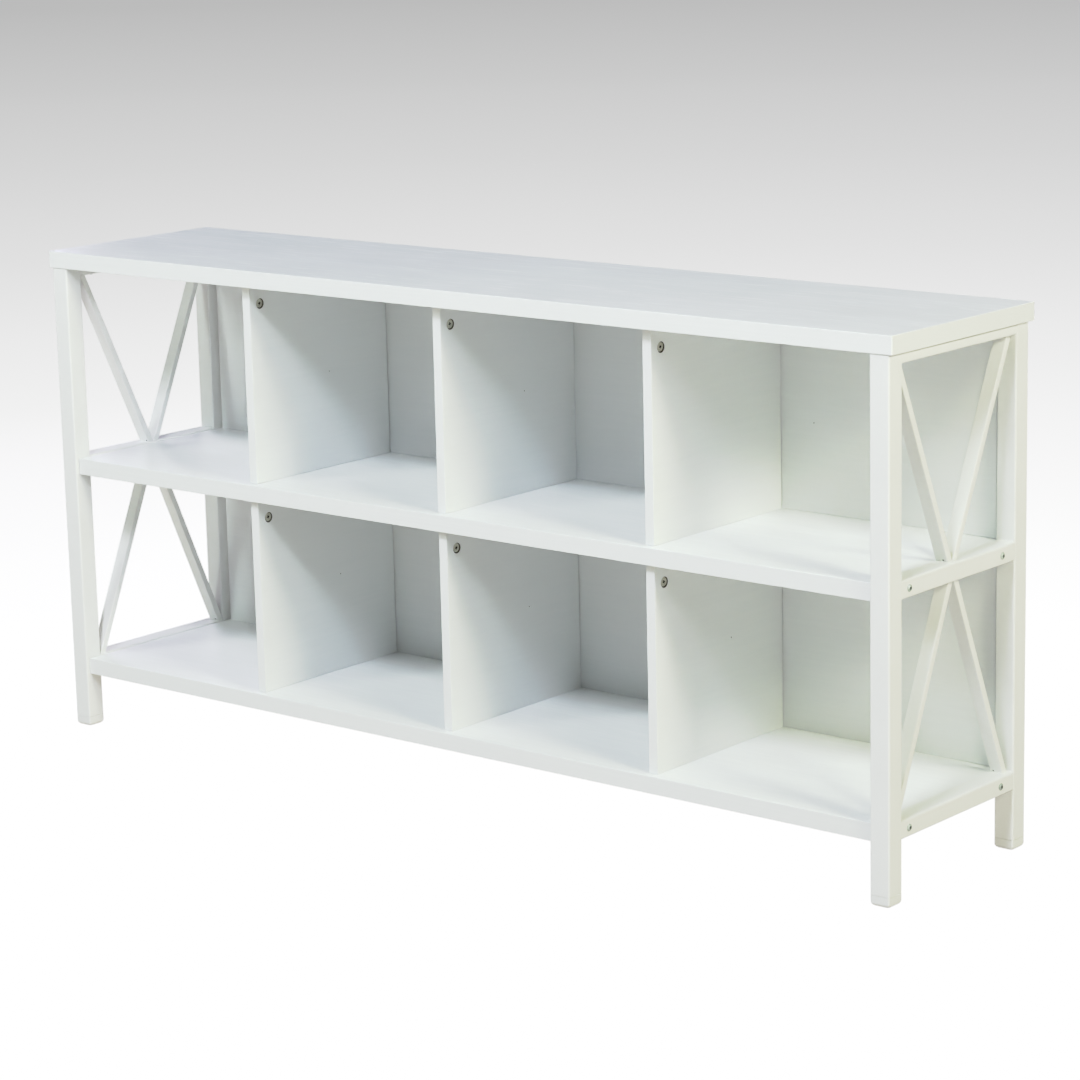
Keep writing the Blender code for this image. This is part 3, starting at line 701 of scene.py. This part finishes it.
for side, s in SIDES.items():
    x = s * RAIL_MID_X
    for end, y in (("front", LEG_FRONT_Y + LEG / 2), ("rear", LEG_REAR_Y - LEG / 2)):
        leg("leg_%s_%s" % (end, side), x, y)
        foot("foot_cap_%s_%s" % (end, side), x, y)
    for level, top, height in (("top", TOP_UNDER - GAP, TOP_RAIL_H), ("middle", MID_RAIL_TOP, RAIL_H),
                               ("bottom", LOW_RAIL_TOP, RAIL_H)):
        rail("%s_rail_%s" % (level, side), s, top, height)
        for end, y, way in (("front", FRONT_LEG_BACK, 1), ("rear", REAR_LEG_FRONT, -1)):
            x0, x1 = x - LEG / 2 + 0.0024, x + LEG / 2 - 0.0024
            if level != "top":
                fillet("weld_%s_%s_%s_over" % (level, side, end), (x0, y, top), (x1, y, top),
                       (0, way, 0), (0, 0, 1), 0.0021, 3.1 + s + y * 9 + top)
            fillet("weld_%s_%s_%s_under" % (level, side, end), (x0, y, top - height), (x1, y, top - height),
                   (0, way, 0), (0, 0, -1), 0.0019, 7.7 + s + y * 9 + top)
    for end, way in (("front", -1), ("rear", 1)):
        for kind, vent_z, outer in (("upper", MID_RAIL_TOP + VENT_UP, True),
                                    ("lower", LOW_RAIL_TOP + VENT_UP, False)):
            spec = brace_line(kind, end, side)
            node = "brace_%s_%s_%s" % (kind, end, side)
            brace(node, s, way, *spec, edge_point(*spec, vent_z, outer), ODD_VENTS.get(node, VENT_IN))


# ------------------------------------------------------------------ welds at the brace ends
def bead(name, points, radius, seed):
    """Thin uneven run of weld along a line of points."""
    loops = []
    pts = [Vector(p) for p in points]
    total = sum((b - a).length for a, b in zip(pts[:-1], pts[1:]))
    steps = max(6, int(total / 0.0012))
    line = []
    for i in range(steps + 1):
        d, t = total * i / steps, 0.0
        for a, b in zip(pts[:-1], pts[1:]):
            if d <= (b - a).length + 1e-9:
                line.append(a.lerp(b, d / (b - a).length))
                break
            d -= (b - a).length
        else:
            line.append(pts[-1])
    for i, c in enumerate(line):
        ahead = (line[min(i + 1, len(line) - 1)] - line[max(i - 1, 0)]).normalized()
        n1 = ahead.orthogonal().normalized()
        n2 = ahead.cross(n1)
        edge = min(i, len(line) - 1 - i) / 2.0
        r = radius * (0.30 + 0.70 * min(1.0, edge)) * (1 + 0.28 * noise.noise(Vector((seed, i * 0.55, 0.1))))
        loops.append([tuple(c + n1 * r * math.cos(2 * math.pi * k / 10) + n2 * r * math.sin(2 * math.pi * k / 10))
                      for k in range(10)])
    return finish_piece(loft(loops), name, [COAT_BEAD], (), 60.0)


for side, s in SIDES.items():
    x_in, x_out = s * (INNER_X + BRACE_IN + 0.0018), s * (INNER_X + BRACE_IN + BRACE_W - 0.0012)
    for end, way in (("front", -1), ("rear", 1)):
        for kind in ("upper", "lower"):
            spec = brace_line(kind, end, side)
            run, out, leg_off, corner_v = brace_geometry(s, way, *spec)
            up = 1 if kind == "upper" else -1
            # foot of the brace on the middle rail: a short run along its outer wide face
            c_off, c_z = spec[0], spec[1]
            outer_off = c_off + BRACE_T / abs(run.y)
            y = FRAME_MID_Y + way * outer_off
            bead("weld_brace_%s_%s_%s_mid" % (kind, end, side),
                 [(x_in, y, c_z + up * 0.0001), (x_out, y, c_z + up * 0.0001)], 0.0009, 2.0 + s + way)
            # the other end: along the inner wide face on the far rail
            k_off, k_z = spec[2], spec[3]
            y = FRAME_MID_Y + way * k_off
            bead("weld_brace_%s_%s_%s_far" % (kind, end, side),
                 [(x_in, y, k_z - up * 0.0001), (x_out, y, k_z - up * 0.0001)], 0.0009, 5.0 + s + way)


# ------------------------------------------------------------------ cam locks
def cam_lock(node, x_face, z):
    """Die-cast cam: a dished face with a cross recess and a small arrow, on a head that is
    narrower than the bore and drawn up to its front and top by the tightened bolt."""
    face = x_face - 0.0004
    head = CAM_R - 0.0010
    to_y, to_z = -0.00045, 0.00055
    steps = [(CAM_R - 0.0002, -CAM_LEN + 0.0010, 0), (CAM_R, -CAM_LEN + 0.0014, 0), (CAM_R, -0.0058, 0),
             (CAM_R - 0.0003, -0.0054, 0), (head, -0.0050, 1), (head, -0.0006, 1), (head - 0.00012, -0.0003, 1),
             (head - 0.0004, -0.0001, 1), (head - 0.0008, 0.0, 1), (head - 0.0012, -0.0001, 1),
             (head - 0.0016, -0.0005, 1), (head - 0.0028, -0.0006, 1), (0.0032, -0.0006, 1),
             (0.0030, -0.0003, 1), (0.0027, -0.0002, 1)]
    loops = [[(face + d, CAM_Y + k * to_y + u, z + k * to_z + v) for u, v in circle(r, 64)]
             for r, d, k in steps]
    # the shank down in the bore is near-black, painted shade
    indices = [1] * 4 + [0] * (len(steps) - 5)
    bm = loft(loops, indices=indices)
    ob = finish_piece(bm, node + "_look", [CAST, CAST_RECESS_SHADE], [node], 40.0)
    cy, cz = CAM_Y + to_y, z + to_z

    def slot_box(hy, hz, deep=0.0030, turn=0.0):
        pts = [(-hy, -hz), (hy, -hz), (hy, hz), (-hy, hz)]
        c, n = math.cos(turn), math.sin(turn)
        taper = 0.72
        return loft([[(face + 0.001 - t, cy + (u * c - v * n) * k, cz + (u * n + v * c) * k)
                      for u, v in pts] for t, k in ((0.0, 1.0), (0.001 + deep, taper))], indices=[1])
    turn = math.radians(12)
    # the walls of the cross and centre recess take the near-black zinc, painted shade
    cut(ob, [slot_box(0.0028, 0.00075, turn=turn), slot_box(0.00075, 0.0028, turn=turn),
             loft([[(face + 0.001 - t, cy + u, cz + v) for u, v in circle(r, 24, 0.5)]
                   for t, r in ((0.0, 0.0018), (0.0052, 0.0014))], indices=[1])])
    # the arrow on the rim
    tri = [(0.0, 0.0055), (-0.0009, 0.0042), (0.0009, 0.0042)]
    cut(ob, [loft([[(face + 0.001 - t, cy + u, cz + v) for u, v in tri] for t in (0.0, 0.0019)])])
    return ob


for level in ("upper", "lower"):
    for where in DIVIDER_X:
        low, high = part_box("%s_divider_%s" % (level, where))
        cam_lock("cam_lock_%s_%s" % (level, where), high.x, high.z + GAP - CAM_DOWN)


# ------------------------------------------------------------------ screws
def hexagon(flat_r, n=48):
    pts = []
    for i in range(n):
        a = 2 * math.pi * i / n
        k = (a + math.pi / 6) % (math.pi / 3) - math.pi / 6
        r = flat_r / math.cos(k)
        pts.append((r * math.cos(a), r * math.sin(a)))
    return pts


def shelf_screw(node, s, y, z):
    """Flanged button head with a hexagon socket, shank through the rail into the shelf. The socket walls are darkened
    zinc, painted shade.
    """
    start = OUTER_X + 0.0001
    steps = [(circle(0.0012), -0.0660), (circle(0.0028), -0.0635), (circle(0.0028), -0.0002), (circle(0.0048), -0.0001),
             (circle(0.0051), 0.0002), (circle(0.0051), 0.0006), (circle(0.0048), 0.0009),
             (circle(0.0042), 0.0010), (circle(0.0039), 0.0012), (circle(0.0036), 0.0017),
             (circle(0.0031), 0.0021), (circle(0.0026), 0.0022), (hexagon(0.0021), 0.0022),
             (hexagon(0.00195), 0.0020), (hexagon(0.0019), 0.0012), (circle(0.0006), 0.0009)]
    loops = [[(s * (start + t), y + s * u, z + v) for u, v in pts] for pts, t in steps]
    # the socket's bands take the darkened zinc, painted shade
    indices = [0] * 12 + [1] * (len(steps) - 13)
    return finish_piece(loft(loops, indices=indices), node + "_look", [ZINC, ZINC_SOCKET_SHADE], [node], 38.0)


def top_screw(node, s, y):
    base = TOP_UNDER - 2 * GAP - TOP_RAIL_H
    steps = [(hexagon(0.0013), -0.0004), (hexagon(0.0015), -0.0019), (hexagon(0.0016), -0.0021),
             (circle(0.0026), -0.0021), (circle(0.0034), -0.0018), (circle(0.0040), -0.0011),
             (circle(0.0042), -0.0003), (circle(0.0041), 0.0), (circle(0.0021), 0.0002),
             (circle(0.0021), 0.0250), (circle(0.0008), 0.0275)]
    loops = [[(s * RAIL_MID_X + u, y + v, base + t) for u, v in pts] for pts, t in steps]
    return finish_piece(loft(loops), node + "_look", [ZINC], [node], 38.0)


for side, s in SIDES.items():
    for level, top in (("middle", MID_RAIL_TOP), ("bottom", LOW_RAIL_TOP)):
        for end, y in SCREW_Y.items():
            shelf_screw("shelf_screw_%s_%s_%s" % (level, side, end), s, y, top - RAIL_H / 2)
    for end, y in TOP_SCREW_Y.items():
        top_screw("top_screw_%s_%s" % (side, end), s, y)

# the cam bolts stay as they are, inside the boards, in zinc
for name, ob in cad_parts.items():
    if name.startswith("cam_bolt"):
        ob.data.materials.clear()
        ob.data.materials.append(ZINC)


# ------------------------------------------------------------------ floor and sky
def glow(name, ob, stops, value, low, high):
    """Studio surface that glows: its brightness is painted in as emission and follows value between low and high."""
    n = Nodes(name)
    ramp = n.tree.nodes.new("ShaderNodeValToRGB")
    ramp.color_ramp.interpolation = "LINEAR"
    while len(ramp.color_ramp.elements) < len(stops):
        ramp.color_ramp.elements.new(0.5)
    for e, (at, v) in zip(ramp.color_ramp.elements, stops):
        e.position = (at - low) / (high - low)
        e.color = (v, v, v, 1.0)
    n.link(n.ramp(value(n), low, high, 0.0, 1.0, False), ramp.inputs[0])
    grain = n.noise(n.coord, 500.0, 2.0, 0.5)
    n.link(n.mix(n.ramp(grain, 0.3, 0.7), (0.057, 0.057, 0.057), (0.063, 0.063, 0.063)), n.shader.inputs["Base Color"])
    n.shader.inputs["Roughness"].default_value = 0.9
    n.shader.inputs["Specular IOR Level"].default_value = 0.0
    # the ramp holds half the brightness, so that it can go over one
    n.link(ramp.outputs["Color"], n.shader.inputs["Emission Color"])
    n.shader.inputs["Emission Strength"].default_value = 2.0
    ob.data.materials.append(n.mat)
    # lit by the lights and seen by the camera, while the light it gives back is the world's
    ob.visible_diffuse = False
    ob.visible_glossy = False
    ob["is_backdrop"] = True


def from_middle(n):
    length = n.tree.nodes.new("ShaderNodeVectorMath")
    length.operation = "LENGTH"
    n.link(n.coord, length.inputs[0])
    return n.math("LOGARITHM", n.math("MAXIMUM", length.outputs["Value"], 0.01), 10.0)


def height(n):
    split = n.tree.nodes.new("ShaderNodeSeparateXYZ")
    n.link(n.coord, split.inputs[0])
    return split.outputs["Z"]


def disc(name, radii, z_of):
    """Rings of faces round the origin."""
    bm = bmesh.new()
    centre = bm.verts.new((0, 0, z_of(0.0)))
    previous = None
    for r in radii:
        loop = [bm.verts.new((r * math.cos(2 * math.pi * i / 96), r * math.sin(2 * math.pi * i / 96), z_of(r)))
                for i in range(96)]
        if previous is None:
            for i in range(96):
                bm.faces.new((centre, loop[i], loop[(i + 1) % 96]))
        else:
            ring_faces(bm, previous, loop)
        previous = loop
    me = bpy.data.meshes.new(name)
    bm.to_mesh(me)
    bm.free()
    ob = bpy.data.objects.new(name, me)
    bpy.context.scene.collection.objects.link(ob)
    return ob


# the floor's glow is brightest round the middle and fades outwards: a painted pool of light
floor = disc("studio_floor", (0.5, 1, 2, 4, 8, 16, 32, 60), lambda r: 0.0)
glow("studio_floor", floor,
     [(math.log10(r), v / 2) for r, v in ((1.1, 1.43), (1.8, 1.355), (2.4, 1.265), (3.2, 1.175), (4.5, 1.035),
                                          (6.2, 0.85), (8.8, 0.69), (12.9, 0.58), (20.2, 0.49), (60, 0.43))],
     from_middle, 0.0, 1.8)

# a pale dome far behind the floor's edge, for views that look up or level
dome = disc("studio_sky", [60 * math.sin(math.radians(a)) for a in range(10, 91, 8)] + [60.0],
            lambda r: math.sqrt(max(60.0 ** 2 - r * r, 0.0)))
glow("studio_sky", dome, [(0.0, 0.20), (20.0, 0.215), (60.0, 0.235)], height, 0.0, 60.0)


# ------------------------------------------------------------------ lights
def soft_box(name, azimuth, elevation, distance, size, levels):
    """Round soft box aimed at the middle of the bookcase.  Azimuth counts from +X
    towards +Y in degrees, so the front is 270.  levels are its red, green and blue
    strength, in hundreds of watts."""
    a, e = math.radians(azimuth), math.radians(elevation)
    data = bpy.data.lights.new(name, "AREA")
    data.shape = "DISK"
    data.size = size
    most = max(levels)
    data.energy = 100.0 * most
    data.color = [v / most for v in levels]
    ob = bpy.data.objects.new(name, data)
    aim = Vector((0, 0, 0.42))
    ob.location = aim + Vector((math.cos(a) * math.cos(e), math.sin(a) * math.cos(e), math.sin(e))) * distance
    ob.rotation_mode = "QUATERNION"
    ob.rotation_quaternion = (aim - ob.location).to_track_quat("-Z", "Y")
    ob.visible_camera = False
    bpy.context.scene.collection.objects.link(ob)
    return ob


soft_box("key", 288, 45, 4.5, 0.9, (0.690, 0.743, 0.822))
soft_box("key_high", 287, 48, 4.5, 0.9, (0.629, 0.678, 0.750))
soft_box("right", 346, 32, 4.5, 0.9, (0.467, 0.481, 0.365))
soft_box("right_rear", 350, 28, 4.5, 0.9, (0.624, 0.642, 0.488))
soft_box("right_low", 342, 17, 4.5, 0.9, (0.094, 0.097, 0.073))
soft_box("left_near", 238, 28, 3.0, 0.8, (0.091, 0.104, 0.100))
soft_box("left_far", 238, 28, 4.5, 0.8, (0.280, 0.316, 0.300))
soft_box("rear_left", 160, 15, 3.2, 1.0, (0.339, 0.313, 0.410))
soft_box("top", 90, 84, 2.4, 1.2, (0.036, 0.035, 0.063))
soft_box("back_fill", 90, 25, 3.2, 1.6, (0.127, 0.126, 0.126))

WORLD_LOW, WORLD_HIGH = (0.748, 0.716, 0.643), (0.002, 0.002, 0.002)
world = bpy.data.worlds.new("studio")
bpy.context.scene.world = world
world.use_nodes = True
wt = world.node_tree
split = wt.nodes.new("ShaderNodeSeparateXYZ")
wt.links.new(wt.nodes.new("ShaderNodeTexCoord").outputs["Generated"], split.inputs[0])
blend = wt.nodes.new("ShaderNodeMapRange")
blend.interpolation_type = "SMOOTHSTEP"
blend.inputs["From Min"].default_value = -0.05
blend.inputs["From Max"].default_value = 0.05
wt.links.new(split.outputs["Z"], blend.inputs["Value"])
mixer = wt.nodes.new("ShaderNodeMix")
mixer.data_type = "RGBA"
wt.links.new(blend.outputs["Result"], mixer.inputs[0])
mixer.inputs[6].default_value = (*WORLD_LOW, 1.0)
mixer.inputs[7].default_value = (*WORLD_HIGH, 1.0)
wt.links.new(mixer.outputs[2], wt.nodes["Background"].inputs[0])
wt.nodes["Background"].inputs[1].default_value = 1.0

# ------------------------------------------------------------------ camera
YAW, PITCH, ROLL = 0.68926, -0.21573, -0.02111
forward = Vector((-math.sin(YAW) * math.cos(PITCH), math.cos(YAW) * math.cos(PITCH), math.sin(PITCH)))
level_right = Vector((math.cos(YAW), math.sin(YAW), 0.0))
level_up = level_right.cross(forward)
right = level_right * math.cos(ROLL) + level_up * math.sin(ROLL)
up = -level_right * math.sin(ROLL) + level_up * math.cos(ROLL)
cam_data = bpy.data.cameras.new("camera")
cam_data.sensor_width = 36.0
cam_data.lens = 3319.77 / 1080 * 36.0
cam_data.shift_x = (540 - 573.084) / 1080
cam_data.shift_y = (527.814 - 540) / 1080
camera = bpy.data.objects.new("camera", cam_data)
camera.matrix_world = Matrix(((right.x, up.x, -forward.x, 3.10633),
                              (right.y, up.y, -forward.y, -3.62609),
                              (right.z, up.z, -forward.z, 1.43046),
                              (0, 0, 0, 1)))
bpy.context.scene.collection.objects.link(camera)
bpy.context.scene.camera = camera

# a camera's tone response: a little toe, more contrast in the middle, soft highlights
view = bpy.context.scene.view_settings
view.view_transform = "Standard"
view.look = "None"
view.exposure = 0.0
view.gamma = 1.0
view.use_curve_mapping = True
tone = view.curve_mapping
TONE_TOP = 2.0
tone.white_level = (TONE_TOP, TONE_TOP, TONE_TOP)
points = [(0.0, 0.0), (0.18, 0.179), (0.30, 0.307), (0.40, 0.400), (0.50, 0.514), (0.60, 0.611), (0.70, 0.678),
          (0.80, 0.726), (0.90, 0.768), (1.00, 0.810), (1.20, 0.895), (1.45, 1.0), (2.0, 1.0)]
curve = tone.curves[3]
while len(curve.points) < len(points):
    curve.points.new(0.5, 0.5)
for p, (x, y) in zip(curve.points, points):
    p.location = (x / TONE_TOP, y)
    p.handle_type = "VECTOR"
tone.update()

low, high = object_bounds()
